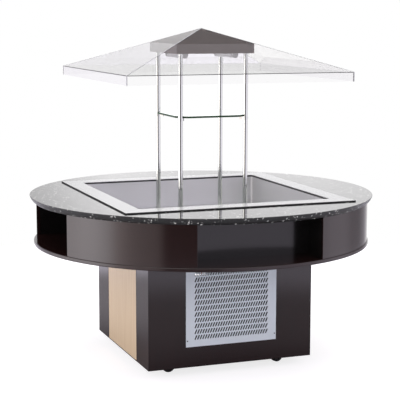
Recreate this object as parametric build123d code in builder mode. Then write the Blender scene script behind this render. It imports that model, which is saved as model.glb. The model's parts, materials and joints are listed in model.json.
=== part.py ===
from build123d import *
import os
from math import cos, hypot, radians, sin

# Round cold salad bar on a square base, with a clear pyramid canopy on four posts.
# Millimetres, +Z up. The origin is on the floor below the centre of the counter.
# The front, which carries the ventilation grille, faces -Y.

os.makedirs("parts", exist_ok=True)

# Counter and drum
counter_radius = 950.0
counter_height = 915.0
stone_thickness = 34.0
stone_edge_undercut = 24.0
stone_edge_bulge = 3.5
stone_arris_round = 1.5
stone_overhang = 26.0
drum_height = 215.0
board_thickness = 20.0
board_lip = 6.0
board_edge_round = 4.0
panel_thickness = 18.0
cubby_width = 680.0
cubby_back_distance = 681.0

# Square base, its inlays and its two grilles
base_side = 930.0
base_clearance = 50.0
inlay_width = 520.0
inlay_depth = 6.0
inlay_margin = 5.0
grille_width = 515.0
grille_height = 440.0
grille_bottom = 160.0
grille_thickness = 2.0
grille_overlap = 22.0
slot_length = 27.0
slot_width = 7.4
slot_lean = 24.0
slot_pitch = 14.4
row_pitch = 31.0
slot_side_margin = 40.0
slot_end_margin = 36.0
screw_side_inset = 8.0
screw_end_inset = 33.0
screw_head_radius = 3.6
screw_head_height = 2.2
screw_radius = 2.0
screw_length = 14.0

# Cold well
rim_side = 1270.0
rim_width = 100.0
rim_thickness = 3.0
gasket_thickness = 3.5
gasket_width = 30.0
opening_round = 12.0
breaker_height = 8.0
breaker_inset = 2.0
tank_wall = 2.0
insulation_thickness = 40.0
casing_wall = 2.0
stone_clearance = 4.0
coil_tube = 10.0
coil_runs = 10
coil_half_width = 385.0
coil_half_length = 350.0
coil_bend = 22.0
coil_drop = 25.0
ice_plate_height = 30.0
ice_plate_sheet = 2.0
ice_plate_clearance = 4.0
ice_hole_radius = 6.0
ice_hole_pitch = 80.0

# Drain
drain_bore = 8.0
drain_tail_radius = 20.0
drain_flange_radius = 35.0
drain_flange_height = 3.0
valve_body_radius = 27.0
valve_body_height = 64.0
valve_drop = 46.0
valve_boss_radius = 12.0
valve_boss_length = 13.0
valve_stem_radius = 5.0
valve_stem_depth = 22.0
spigot_radius = 10.0
spigot_length = 30.0
lever_length = 95.0
lever_width = 14.0
lever_thickness = 3.0

# Posts, shelf, canopy and lamps
overall_height = 1820.0
post_spacing = 375.0
post_radius = 12.5
post_wall = 1.5
post_plug = 20.0
post_tip_radius = 5.0
post_foot_radius = 35.0
post_foot_height = 6.0
shelf_height = 1354.0
shelf_side = 410.0
shelf_corner_gap = 1.6
shelf_thickness = 10.0
clip_height = 16.0
clip_wall = 2.0
clip_width = 10.0
clip_reach = 34.0
canopy_side = 1244.0
canopy_drop = 222.0
canopy_lip = 50.0
pane_thickness = 5.0
pane_seam = 0.4
cap_side = 444.0
cap_skirt = 51.5
cap_wall = 2.0
gantry_rise = 10.0
gantry_thickness = 4.0
lamp_spacing = 290.0
lamp_length = 270.0
lamp_width = 36.0
lamp_body_height = 18.0
lamp_tube_width = 28.0
lamp_tube_height = 19.0
lamp_tube_inset = 4.0

# Frame and casters
frame_tube = 30.0
frame_wall = 2.0
caster_height = 100.0
caster_offset = 340.0
caster_trail = 26.0
beam_width = 60.0
wheel_radius = 37.5
wheel_width = 30.0
wheel_round = 6.0
hub_radius = 24.0
hub_recess = 4.0
axle_radius = 4.0
kingpin_radius = 6.0
race_radius = 25.0
race_height = 8.0
caster_plate = 4.0
caster_plate_length = 90.0
fork_plate = 3.0
fork_top = 5.7
fork_foot_radius = 12.0
fork_side_gap = 1.5
axle_head_radius = 7.0
axle_head_height = 3.0

# Condensing unit
tray_side = 820.0
tray_thickness = 2.0
tray_hose_hole = 60.0
condenser_width = 330.0
condenser_depth = 70.0
condenser_height = 378.0
fin_pitch = 9.0
fin_gap = 2.6
fin_depth = 9.0
fin_end = 12.0
stub_spacing = 280.0
stub_height = 15.0
shroud_depth = 30.0
shroud_wall = 2.0
collar_depth = 18.0
fan_radius = 108.0
fan_tip_gap = 4.0
fan_blades = 5
blade_chord = 46.0
blade_angle = 30.0
blade_thickness = 2.0
fan_hub_radius = 28.0
fan_hub_length = 26.0
fan_shaft_radius = 4.0
shaft_end_gap = 4.0
motor_radius = 40.0
motor_length = 70.0
motor_gap = 9.0
motor_bore_depth = 34.0
motor_foot_width = 50.0
compressor_x = -120.0
compressor_y = 120.0
compressor_radius = 92.0
compressor_height = 200.0
compressor_round = 34.0
compressor_stub_spacing = 100.0
compressor_stub_height = 60.0
compressor_foot_radius = 12.0
compressor_foot_height = 15.0
compressor_plate_length = 216.0
compressor_plate_width = 150.0
compressor_plate = 3.0
terminal_width = 60.0
terminal_depth = 45.0
terminal_height = 80.0
discharge_level = 560.0
liquid_level = 590.0
suction_level = 525.0
pipe_bend = 30.0
drier_radius = 14.0
drier_length = 50.0

# Controls and mains entry, on the back
control_x = -345.0
control_z = 430.0
control_width = 130.0
control_height = 190.0
control_plate = 2.5
control_border = 10.0
control_depth = 55.0
control_wall = 2.0
control_cutout_gap = 1.0
switch_spacing = 56.0
switch_z = 48.0
switch_width = 20.0
switch_height = 24.0
switch_front = 5.0
switch_back = 6.0
switch_tilt = 10.0
switch_side_gap = 0.3
switch_pin_radius = 1.5
switch_housing_wall = 2.0
switch_housing_depth = 16.0
knob_z = -38.0
knob_radius = 21.0
knob_height = 17.0
knob_gap = 0.5
knob_flutes = 14
knob_flute_radius = 2.2
knob_shaft_radius = 3.0
knob_shaft_length = 15.0
knob_boss_radius = 8.0
knob_boss_length = 10.0
pointer_width = 2.4
pointer_height = 1.2
gland_x = 380.0
gland_z = 180.0
gland_bore = 5.0
gland_thread_radius = 10.0
gland_thread_length = 25.0
gland_flange_radius = 14.0
gland_flange_height = 6.0
gland_dome_radius = 11.0
gland_dome_length = 18.0

# Clearances
running_fit = 0.06
joint_gap = 0.2
loose_fit = 0.3
pipe_hole_gap = 2.0

# Levels and half sizes that follow from the sizes above
stone_bottom = counter_height - stone_thickness
drum_floor = stone_bottom - drum_height
board_bottom = drum_floor - board_thickness
drum_radius = counter_radius - stone_overhang
drum_inner_radius = drum_radius - panel_thickness
board_radius = drum_radius + board_lip
base_half = base_side / 2
base_inner = base_half - panel_thickness
base_height = board_bottom - base_clearance
base_middle = base_clearance + base_height / 2
grille_middle = grille_bottom + grille_height / 2
rim_bottom = counter_height + gasket_thickness
opening_half = rim_side / 2 - rim_width
breaker_bottom = rim_bottom - breaker_height
tank_inner = opening_half - breaker_inset
tank_outer = tank_inner + tank_wall
insulation_outer = tank_outer + insulation_thickness
casing_outer = insulation_outer + casing_wall
stone_hole_half = casing_outer + stone_clearance
flange_bottom = breaker_bottom - tank_wall
insulation_bottom = drum_floor + casing_wall
coil_level = insulation_bottom + insulation_thickness + loose_fit + coil_tube / 2
tank_bottom = coil_level + coil_tube / 2 + loose_fit
tank_floor = tank_bottom + tank_wall
canopy_half = canopy_side / 2
canopy_slope = canopy_drop / canopy_half
pane_rise = pane_thickness * hypot(1, canopy_slope)
cap_half = cap_side / 2
cap_apex = overall_height - pane_rise
cap_bottom = cap_apex - canopy_slope * cap_half - cap_skirt
gantry_bottom = cap_bottom + gantry_rise
post_place = post_spacing / 2
frame_middle = base_inner - frame_tube / 2
frame_span = 2 * (frame_middle - frame_tube / 2 - joint_gap)
tray_level = caster_height + frame_tube
unit_level = tray_level + tray_thickness
condenser_y = -coil_half_width
condenser_back = condenser_y + condenser_depth / 2
fan_z = unit_level + condenser_height / 2
shroud_back = condenser_back + shroud_depth
coil_end = board_bottom - coil_drop

stand = (Align.CENTER, Align.CENTER, Align.MIN)
hang = (Align.CENTER, Align.CENTER, Align.MAX)
sides = {"front": 270, "right": 0, "back": 90, "left": 180}
corners = {
    "front_left": (-1, -1),
    "front_right": (1, -1),
    "back_left": (-1, 1),
    "back_right": (1, 1),
}
# Rest headings of the casters, in degrees from +X: the way each wheel trails its swivel
caster_headings = {"front_left": 0, "front_right": 200, "back_left": 40, "back_right": 120}


def heading(azimuth):
    """Level unit vector at an azimuth in degrees from +X."""
    return Vector(cos(radians(azimuth)), sin(radians(azimuth)), 0)


def face_plane(azimuth, distance, level=0, shift=0):
    """Upright plane facing outwards, its x to the right and its y up for someone facing it."""
    origin = heading(azimuth) * distance + heading(azimuth + 90) * shift + Vector(0, 0, level)
    return Plane(origin=origin, x_dir=heading(azimuth + 90), z_dir=heading(azimuth))


def section_plane(azimuth, origin=(0, 0, 0)):
    """Upright plane along an azimuth, its x outwards and its y up."""
    return Plane(origin=origin, x_dir=heading(azimuth), z_dir=heading(azimuth - 90))


def save(piece, name):
    """Label a finished piece and write it."""
    piece.part.label = name
    export_step(piece.part, f"parts/{name}.step")


def square_ring(outer_half, inner_half, bottom, height):
    """Flat square ring with a round-cornered opening."""
    with BuildPart() as ring:
        with BuildSketch(Plane.XY.offset(bottom)):
            Rectangle(2 * outer_half, 2 * outer_half)
            RectangleRounded(2 * inner_half, 2 * inner_half, opening_round, mode=Mode.SUBTRACT)
        extrude(amount=height)
    return ring


def service_holes():
    """Holes of the drain tail and of the two coil ends, drawn on the sketch that is open."""
    Circle(drain_tail_radius + pipe_hole_gap, mode=Mode.SUBTRACT)
    slot_centre = -coil_half_length + coil_bend / 2
    with GridLocations(0, 2 * coil_half_width, 1, 2):
        with Locations((slot_centre, 0)):
            hole_width = coil_tube + 2 * pipe_hole_gap
            SlotOverall(coil_bend + 2 * coil_tube, hole_width, mode=Mode.SUBTRACT)


def open_box(outer_half, wall, bottom, floor, top):
    """Open square box with service holes in its floor."""
    with BuildPart() as box:
        with BuildSketch(Plane.XY.offset(bottom)):
            Rectangle(2 * outer_half, 2 * outer_half)
            service_holes()
        extrude(amount=floor)
        with BuildSketch(Plane.XY.offset(bottom + floor)):
            Rectangle(2 * outer_half, 2 * outer_half)
            Rectangle(2 * (outer_half - wall), 2 * (outer_half - wall), mode=Mode.SUBTRACT)
        extrude(amount=top - bottom - floor)
    return box


def pipe(points, bends):
    """Round tube along straight runs joined by arcs."""
    start = Vector(*points[0])
    with BuildPart() as tube:
        with BuildLine() as route:
            FilletPolyline(*points, radius=bends)
        with BuildSketch(Plane(origin=start, z_dir=Vector(*points[1]) - start)):
            Circle(coil_tube / 2)
        sweep(path=route.wires()[0])
    return tube


def box_section(plane, width, length):
    """One length of steel box section, reaching equally to both sides of a plane."""
    with BuildPart() as tube:
        with BuildSketch(plane):
            Rectangle(width, frame_tube)
            Rectangle(width - 2 * frame_wall, frame_tube - 2 * frame_wall, mode=Mode.SUBTRACT)
        extrude(amount=length / 2, both=True)
    return tube.part


# Stone counter: a disc with a square cut-out for the well, whose edge curves in below a crisp top arris
stone_arris = (counter_radius, counter_height)
stone_foot = (counter_radius - stone_edge_undercut, stone_bottom)
with BuildPart() as stone_top:
    with BuildSketch(Plane.XZ):
        with BuildLine():
            SagittaArc(stone_arris, stone_foot, stone_edge_bulge)
            Polyline(stone_foot, (0, stone_bottom), (0, counter_height), stone_arris)
        make_face()
    revolve(axis=Axis.Z)
    fillet(stone_top.edges().filter_by(GeomType.CIRCLE).sort_by(SortBy.RADIUS)[-1], stone_arris_round)
    with BuildSketch(Plane.XY.offset(stone_bottom)):
        RectangleRounded(2 * stone_hole_half, 2 * stone_hole_half, opening_round)
    extrude(amount=stone_thickness, mode=Mode.SUBTRACT)
save(stone_top, "stone_top")

# Cold well: gasket on the stone, steel rim, plastic breaker, tank, foam and casing
well_gasket = square_ring(rim_side / 2, rim_side / 2 - gasket_width, counter_height, gasket_thickness)
save(well_gasket, "well_gasket")
well_rim = square_ring(rim_side / 2, opening_half, rim_bottom, rim_thickness)
save(well_rim, "well_rim")
breaker_strip = square_ring(casing_outer, tank_inner, breaker_bottom, breaker_height)
save(breaker_strip, "breaker_strip")

with BuildPart() as well_tank:
    with BuildSketch(Plane.XY.offset(tank_bottom)):
        RectangleRounded(2 * tank_outer, 2 * tank_outer, opening_round + tank_wall)
    extrude(amount=breaker_bottom - tank_bottom)
    with BuildSketch(Plane.XY.offset(flange_bottom)):
        Rectangle(2 * casing_outer, 2 * casing_outer)
    extrude(amount=tank_wall)
    with BuildSketch(Plane.XY.offset(tank_floor)):
        RectangleRounded(2 * tank_inner, 2 * tank_inner, opening_round)
    extrude(amount=breaker_bottom - tank_floor, mode=Mode.SUBTRACT)
    with BuildSketch(Plane.XY.offset(tank_bottom)):
        Circle(drain_tail_radius + loose_fit)
    extrude(amount=tank_wall, mode=Mode.SUBTRACT)
save(well_tank, "well_tank")

well_insulation = open_box(
    insulation_outer, insulation_thickness, insulation_bottom, insulation_thickness, flange_bottom
)
save(well_insulation, "well_insulation")
well_casing = open_box(casing_outer, casing_wall, drum_floor, casing_wall, flange_bottom)
save(well_casing, "well_casing")

# Evaporator: one tube that runs to and fro below the tank, with both ends turned down
coil_step = 2 * coil_half_width / (coil_runs - 1)
coil_points = [(-coil_half_length, -coil_half_width, coil_end)]
for run in range(coil_runs):
    run_y = -coil_half_width + run * coil_step
    run_ends = [-coil_half_length, coil_half_length]
    if run % 2:
        run_ends.reverse()
    coil_points += [(end, run_y, coil_level) for end in run_ends]
coil_points.append((-coil_half_length, coil_half_width, coil_end))
turn_bends = [coil_step / 2 - 1] * (len(coil_points) - 4)
evaporator_coil = pipe(coil_points, [coil_bend] + turn_bends + [coil_bend])
save(evaporator_coil, "evaporator_coil")

# Ice plate: three perforated strips on turned-down legs, notched round the posts where they meet
plate_half = tank_inner - ice_plate_clearance
plate_edges = [-plate_half, -post_place, post_place, plate_half]
post_holes = [(x * post_place, y * post_place) for x, y in corners.values()]
holes_across = int(2 * (plate_half - ice_hole_pitch / 2) / ice_hole_pitch) + 1
with BuildPart() as drain_plate:
    for west, east in zip(plate_edges, plate_edges[1:]):
        strip_width = east - west - joint_gap
        with BuildSketch(Plane.XY.offset(tank_floor)):
            with Locations(((west + east) / 2, 0)):
                Rectangle(strip_width, 2 * plate_half)
        extrude(amount=ice_plate_height + ice_plate_sheet)
    with BuildSketch(Plane.XY.offset(tank_floor)):
        Rectangle(2 * plate_half, 2 * (plate_half - ice_plate_sheet))
    extrude(amount=ice_plate_height, mode=Mode.SUBTRACT)
    with BuildSketch(Plane.XY.offset(tank_floor)):
        with Locations(*post_holes):
            Circle(post_radius + ice_plate_clearance)
        with GridLocations(ice_hole_pitch, ice_hole_pitch, holes_across, holes_across):
            Circle(ice_hole_radius)
    extrude(amount=ice_plate_height + ice_plate_sheet, mode=Mode.SUBTRACT)
save(drain_plate, "drain_plate")

# Drain: flanged tail through the tank and the drum, valve body and hose spigot
valve_top = board_bottom - valve_drop
valve_bottom = valve_top - valve_body_height
valve_stem_z = (valve_top + valve_bottom) / 2
drain_top = tank_floor + drain_flange_height
drain_bottom = valve_bottom - spigot_length
boss_face = valve_body_radius + valve_boss_length
with BuildPart(Plane.XY.offset(drain_bottom)) as drain_valve:
    Cylinder(spigot_radius, drain_top - drain_bottom, align=stand)
    with Locations((0, 0, spigot_length)):
        Cylinder(valve_body_radius, valve_body_height, align=stand)
        Cylinder(drain_tail_radius, tank_floor - valve_bottom, align=stand)
    with Locations((0, 0, tank_floor - drain_bottom)):
        Cylinder(drain_flange_radius, drain_flange_height, align=stand)
    with Locations(Location((0, 0, valve_stem_z - drain_bottom), (90, 0, 0))):
        Cylinder(valve_boss_radius, boss_face, align=stand)
    Cylinder(drain_bore, drain_top - drain_bottom, align=stand, mode=Mode.SUBTRACT)
    with Locations(Location((0, -boss_face, valve_stem_z - drain_bottom), (90, 0, 0))):
        Cylinder(valve_stem_radius + running_fit, valve_stem_depth, align=hang, mode=Mode.SUBTRACT)
save(drain_valve, "drain_valve")

with BuildPart(face_plane(270, boss_face + loose_fit, valve_stem_z)) as drain_valve_lever:
    Cylinder(valve_stem_radius, valve_stem_depth, align=hang)
    with BuildSketch(face_plane(270, boss_face + loose_fit, valve_stem_z)):
        with Locations((lever_length / 2, 0)):
            SlotCenterToCenter(lever_length, lever_width)
    extrude(amount=lever_thickness)
save(drain_valve_lever, "drain_valve_lever")

# Posts: tubes with a welded foot, a plug in the top and a tip that enters the gantry plate
post_length = gantry_bottom - tank_floor
for name, (x, y) in corners.items():
    with BuildPart(Plane((x * post_place, y * post_place, tank_floor))) as post:
        Cylinder(post_foot_radius, post_foot_height, align=stand)
        Cylinder(post_radius, post_length, align=stand)
        Cylinder(post_radius - post_wall, post_length - post_plug, align=stand, mode=Mode.SUBTRACT)
        with Locations((0, 0, post_length)):
            Cylinder(post_tip_radius, gantry_thickness, align=stand)
    save(post, f"post_{name}")

# Glass shelf: a square with its corners cut to pass inside the posts
shelf_half = shelf_side / 2
corner_reach = post_spacing / 2 * 2**0.5 - post_radius - shelf_corner_gap
corner_cut = 2 * shelf_half - corner_reach * 2**0.5
with BuildPart() as glass_shelf:
    with BuildSketch(Plane.XY.offset(shelf_height - shelf_thickness)) as shelf_outline:
        Rectangle(shelf_side, shelf_side)
        chamfer(shelf_outline.vertices(), corner_cut)
    extrude(amount=shelf_thickness)
save(glass_shelf, "glass_shelf")

# Shelf clips: a collar on each post with a tongue below the glass
clip_bottom = shelf_height - shelf_thickness - clip_height
with BuildPart() as shelf_clips:
    with BuildSketch(Plane.XY.offset(clip_bottom)):
        with PolarLocations(post_place * 2**0.5, 4, start_angle=45):
            Circle(post_radius + clip_wall)
            with Locations((-clip_reach / 2, 0)):
                Rectangle(clip_reach, clip_width)
        with PolarLocations(post_place * 2**0.5, 4, start_angle=45):
            Circle(post_radius + running_fit, mode=Mode.SUBTRACT)
    extrude(amount=clip_height)
save(shelf_clips, "shelf_clips")


def hip_roof(half, bottom, apex):
    """Square block under a pyramid, made by crossing two gables."""
    eave = apex - canopy_slope * half
    outline = [(-half, bottom), (half, bottom), (half, eave), (0, apex), (-half, eave)]
    with BuildPart() as roof:
        for plane, mode in ((Plane.XZ, Mode.ADD), (Plane.YZ, Mode.INTERSECT)):
            with BuildSketch(plane):
                Polygon(*outline, align=None)
            extrude(amount=half, both=True, mode=mode)
    return roof.part


# Gantry plate inside the cap, with a hole for each post's tip
gantry_half = cap_half - cap_wall - joint_gap
with BuildPart() as gantry_plate:
    with BuildSketch(Plane.XY.offset(gantry_bottom)):
        Rectangle(2 * gantry_half, 2 * gantry_half)
        with Locations(*post_holes):
            Circle(post_tip_radius + running_fit, mode=Mode.SUBTRACT)
    extrude(amount=gantry_thickness)
save(gantry_plate, "gantry_plate")

# Cap: hollow pyramid with a short skirt
cap_outside = hip_roof(cap_half, cap_bottom, cap_apex)
cap_inner_apex = cap_apex - cap_wall * hypot(1, canopy_slope)
cap_inside = hip_roof(cap_half - cap_wall, cap_bottom, cap_inner_apex)
with BuildPart() as canopy_cap:
    add(cap_outside)
    add(cap_inside, mode=Mode.SUBTRACT)
save(canopy_cap, "canopy_cap")

# Canopy: four clear panes that meet at the hips, each with its lower edge bent down
canopy_eave = overall_height - canopy_drop
inner_edge = canopy_half - pane_thickness
inner_eave = cap_apex - canopy_slope * inner_edge
pane_profile = [
    (0, overall_height),
    (canopy_half, canopy_eave),
    (canopy_half, canopy_eave - canopy_lip),
    (inner_edge, canopy_eave - canopy_lip),
    (inner_edge, inner_eave),
    (0, cap_apex),
]
for name, azimuth in sides.items():
    with BuildPart() as canopy_pane:
        with BuildSketch(section_plane(azimuth)):
            Polygon(*pane_profile, align=None)
        extrude(amount=canopy_half, both=True)
        for hip in (azimuth - 45, azimuth + 45):
            split(bisect_by=Plane(origin=heading(hip) * pane_seam / 2, z_dir=heading(hip)), keep=Keep.TOP)
    save(canopy_pane, f"canopy_pane_{name}")

# Lamps: two bodies below the gantry plate, each with a rounded diffuser
lamp_places = GridLocations(lamp_spacing, 0, 2, 1)
with BuildPart() as lamp_bodies:
    with BuildSketch(Plane.XY.offset(gantry_bottom)):
        with lamp_places:
            Rectangle(lamp_width, lamp_length)
    extrude(amount=-lamp_body_height)
    chamfer(lamp_bodies.faces().group_by(Axis.Z)[0].edges(), (lamp_width - lamp_tube_width) / 4)
save(lamp_bodies, "lamp_bodies")

with BuildPart() as lamp_tubes:
    with BuildSketch(Plane.XY.offset(gantry_bottom - lamp_body_height)):
        with lamp_places:
            lamp_tube_round = lamp_tube_width / 2 - joint_gap
            RectangleRounded(lamp_tube_width, lamp_length - 2 * lamp_tube_inset, lamp_tube_round)
    extrude(amount=-lamp_tube_height)
    fillet(lamp_tubes.faces().group_by(Axis.Z)[0].edges(), lamp_tube_width / 3)
save(lamp_tubes, "lamp_tubes")

# Drum: curved skins at the corners, each ending flush with the sides of its two cubbies
cubby_half = cubby_width / 2
for name, (x, y) in corners.items():
    with BuildPart() as drum_panel:
        with BuildSketch(Plane.XY.offset(drum_floor)):
            Circle(drum_radius)
            Circle(drum_inner_radius, mode=Mode.SUBTRACT)
            corner_middle = cubby_half + drum_radius / 2
            with Locations((x * corner_middle, y * corner_middle)):
                Rectangle(drum_radius, drum_radius, mode=Mode.INTERSECT)
        extrude(amount=drum_height)
    save(drum_panel, f"drum_panel_{name}")

# Cubbies: a back board and two side boards on each side of the well
side_board_start = cubby_back_distance + joint_gap
side_board_length = drum_radius - side_board_start
side_board_middle = side_board_start + side_board_length / 2
with BuildPart() as cubby_walls:
    with BuildSketch(Plane.XY.offset(drum_floor)):
        with PolarLocations(cubby_back_distance - panel_thickness / 2, 4):
            Rectangle(panel_thickness, cubby_width + 2 * panel_thickness)
        with PolarLocations(side_board_middle, 4):
            with GridLocations(0, cubby_width + panel_thickness, 1, 2):
                Rectangle(side_board_length, panel_thickness)
        Circle(drum_inner_radius - joint_gap, mode=Mode.INTERSECT)
    extrude(amount=drum_height)
save(cubby_walls, "cubby_walls")

# Round board under the drum, with holes for the drain and the coil ends
with BuildPart() as drum_bottom_board:
    with BuildSketch(Plane.XY.offset(board_bottom)):
        Circle(board_radius)
        service_holes()
    extrude(amount=board_thickness)
    board_rim = drum_bottom_board.edges().filter_by(GeomType.CIRCLE).group_by(SortBy.RADIUS)[-1]
    fillet(board_rim, board_edge_round)
save(drum_bottom_board, "drum_bottom_board")


def screw_places():
    """Places of a grille's four screws on its own face."""
    across = grille_width - 2 * screw_side_inset
    upwards = grille_height - 2 * screw_end_inset
    return GridLocations(across, upwards, 2, 2)


def vented_panel(azimuth, extra_cuts):
    """Full-width base panel with a window and screw holes for a grille, and other cuts."""
    grille_rise = grille_middle - base_middle
    with BuildPart() as panel:
        with BuildSketch(face_plane(azimuth, base_inner, base_middle)):
            Rectangle(base_side, base_height)
            with Locations((0, grille_rise)):
                window_width = grille_width - 2 * grille_overlap
                window_height = grille_height - 2 * grille_overlap
                Rectangle(window_width, window_height, mode=Mode.SUBTRACT)
            with Locations((0, grille_rise)):
                with screw_places():
                    Circle(screw_radius + running_fit, mode=Mode.SUBTRACT)
            for place, outline in extra_cuts:
                with Locations(place):
                    add(outline, mode=Mode.SUBTRACT)
        extrude(amount=panel_thickness)
    return panel


def inlaid_panel(azimuth):
    """Base panel between the front and the back, with a recess for its inlay."""
    with BuildPart() as panel:
        with BuildSketch(face_plane(azimuth, base_inner, base_middle)):
            Rectangle(2 * (base_inner - joint_gap), base_height)
        extrude(amount=panel_thickness)
        with BuildSketch(face_plane(azimuth, base_half, base_middle)):
            Rectangle(inlay_width, base_height - 2 * inlay_margin)
        extrude(amount=-inlay_depth, mode=Mode.SUBTRACT)
    return panel


def grille(azimuth):
    """Sheet with rows of slots that lean to the right, and a hole for each screw."""
    slot_rise = slot_length * cos(radians(slot_lean))
    slot_reach = slot_length * sin(radians(slot_lean)) + slot_width
    columns = int((grille_width - 2 * slot_side_margin - slot_reach) / slot_pitch) + 1
    rows = int((grille_height - 2 * slot_end_margin - slot_rise) / row_pitch) + 1
    with BuildPart() as sheet:
        with BuildSketch(face_plane(azimuth, base_half, grille_middle)):
            Rectangle(grille_width, grille_height)
            with GridLocations(slot_pitch, row_pitch, columns, rows):
                SlotOverall(slot_length, slot_width, rotation=90 - slot_lean, mode=Mode.SUBTRACT)
            with screw_places():
                Circle(screw_radius + running_fit, mode=Mode.SUBTRACT)
        extrude(amount=grille_thickness)
    return sheet


# Base panels: the front and the back carry grilles, the left and the right carry inlays
control_box_width = control_width - 2 * control_border
control_box_height = control_height - 2 * control_border
control_cut = Rectangle(
    control_box_width + 2 * control_cutout_gap, control_box_height + 2 * control_cutout_gap, mode=Mode.PRIVATE
)
gland_cut = Circle(gland_thread_radius + loose_fit, mode=Mode.PRIVATE)
back_cuts = [
    ((control_x, control_z - base_middle), control_cut),
    ((gland_x, gland_z - base_middle), gland_cut),
]
save(vented_panel(sides["front"], []), "base_panel_front")
save(vented_panel(sides["back"], back_cuts), "base_panel_back")
save(inlaid_panel(sides["right"]), "base_panel_right")
save(inlaid_panel(sides["left"]), "base_panel_left")

with BuildPart() as inlay_panels:
    for name in ("right", "left"):
        with BuildSketch(face_plane(sides[name], base_half - inlay_depth, base_middle)):
            Rectangle(inlay_width - 2 * loose_fit, base_height - 2 * (inlay_margin + loose_fit))
        extrude(amount=inlay_depth)
save(inlay_panels, "inlay_panels")

save(grille(sides["front"]), "grille_front")
save(grille(sides["back"]), "grille_back")

with BuildPart() as grille_screws:
    for name in ("front", "back"):
        head_plane = face_plane(sides[name], base_half + grille_thickness, grille_middle)
        with BuildSketch(head_plane):
            with screw_places():
                Circle(screw_head_radius)
        extrude(amount=screw_head_height)
        with BuildSketch(head_plane):
            with screw_places():
                Circle(screw_radius)
        extrude(amount=-screw_length)
    fillet(grille_screws.edges().filter_by(GeomType.CIRCLE).group_by(Axis.Y)[-1], screw_head_height / 2)
    fillet(grille_screws.edges().filter_by(GeomType.CIRCLE).group_by(Axis.Y)[0], screw_head_height / 2)
save(grille_screws, "grille_screws")

# Base frame: uprights, rails and caster beams of box section, with a fixing plate at each caster
rail_levels = (caster_height + frame_tube / 2, board_bottom - frame_tube / 2)
upright_height = board_bottom - caster_height
frame_pieces = []
for x, y in corners.values():
    upright_plane = Plane((x * frame_middle, y * frame_middle, caster_height + upright_height / 2))
    frame_pieces.append(box_section(upright_plane, frame_tube, upright_height))
for azimuth in sides.values():
    for level in rail_levels:
        rail_plane = section_plane(azimuth, heading(azimuth) * frame_middle + Vector(0, 0, level))
        frame_pieces.append(box_section(rail_plane, frame_tube, frame_span))
for x in (-caster_offset, caster_offset):
    beam_plane = section_plane(0, (x, 0, rail_levels[0]))
    frame_pieces.append(box_section(beam_plane, beam_width, frame_span))
plate_top = caster_height - joint_gap
race_bottom = plate_top - caster_plate - race_height
with BuildPart() as base_frame:
    add(frame_pieces)
    with BuildSketch(Plane.XY.offset(plate_top)):
        with GridLocations(2 * caster_offset, 2 * caster_offset, 2, 2):
            Rectangle(beam_width, caster_plate_length)
    extrude(amount=-caster_plate)
    with BuildSketch(Plane.XY.offset(plate_top - caster_plate)):
        with GridLocations(2 * caster_offset, 2 * caster_offset, 2, 2):
            Circle(race_radius)
    extrude(amount=-race_height)
    with BuildSketch(Plane.XY.offset(race_bottom)):
        with GridLocations(2 * caster_offset, 2 * caster_offset, 2, 2):
            Circle(kingpin_radius + running_fit)
    extrude(amount=race_height + caster_plate, mode=Mode.SUBTRACT)
save(base_frame, "base_frame")

# Casters: a fork that swivels on its kingpin, and a wheel on the fork's axle
fork_top_level = race_bottom - loose_fit
fork_crown = fork_top_level - fork_top
leg_inside = wheel_width / 2 + fork_side_gap
axle_half = leg_inside + fork_plate
for name, (x, y) in corners.items():
    swivel = Vector(x * caster_offset, y * caster_offset, 0)
    fork_plane = section_plane(caster_headings[name], swivel)
    with BuildPart(Plane.XY.offset(fork_top_level).move(Location(swivel))) as caster_fork:
        Cylinder(race_radius - joint_gap, fork_top, align=hang)
        Cylinder(kingpin_radius, plate_top - fork_top_level - loose_fit, align=stand)
        for side in (-1, 1):
            with BuildSketch(fork_plane.offset(side * (leg_inside + fork_plate / 2))):
                leg_top = race_radius * 0.7
                Polygon(
                    (-leg_top, fork_crown),
                    (leg_top, fork_crown),
                    (caster_trail + fork_foot_radius, wheel_radius),
                    (caster_trail - fork_foot_radius, wheel_radius),
                    align=None,
                )
                with Locations((caster_trail, wheel_radius)):
                    Circle(fork_foot_radius)
            extrude(amount=fork_plate / 2, both=True)
        with BuildSketch(Plane.XY.offset(fork_crown).move(Location(swivel))):
            Rectangle(2 * leg_top, 2 * axle_half, rotation=caster_headings[name])
        extrude(amount=fork_plate)
        with BuildSketch(fork_plane):
            with Locations((caster_trail, wheel_radius)):
                Circle(axle_radius)
        extrude(amount=axle_half, both=True)
        for side in (-1, 1):
            with BuildSketch(fork_plane.offset(side * axle_half)):
                with Locations((caster_trail, wheel_radius)):
                    RegularPolygon(axle_head_radius, 6)
            extrude(amount=side * axle_head_height)
    save(caster_fork, f"caster_fork_{name}")

    with BuildPart() as caster_wheel:
        with BuildSketch(fork_plane):
            with Locations((caster_trail, wheel_radius)):
                Circle(wheel_radius)
        extrude(amount=wheel_width / 2, both=True)
        rim_edges = caster_wheel.edges().filter_by(GeomType.CIRCLE)
        fillet(rim_edges, wheel_round)
        for side in (-1, 1):
            with BuildSketch(fork_plane.offset(side * wheel_width / 2)):
                with Locations((caster_trail, wheel_radius)):
                    Circle(hub_radius)
                    Circle(axle_head_radius + axle_radius, mode=Mode.SUBTRACT)
            extrude(amount=-side * hub_recess, mode=Mode.SUBTRACT)
        with BuildSketch(fork_plane):
            with Locations((caster_trail, wheel_radius)):
                Circle(axle_radius + running_fit)
        extrude(amount=wheel_width / 2, both=True, mode=Mode.SUBTRACT)
    save(caster_wheel, f"caster_wheel_{name}")

# Tray of the condensing unit, on the caster beams, with a hole for the drain hose
with BuildPart() as unit_tray:
    with BuildSketch(Plane.XY.offset(tray_level)):
        Rectangle(tray_side, tray_side)
        Rectangle(tray_hose_hole, tray_hose_hole, mode=Mode.SUBTRACT)
    extrude(amount=tray_thickness)
save(unit_tray, "unit_tray")

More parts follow.
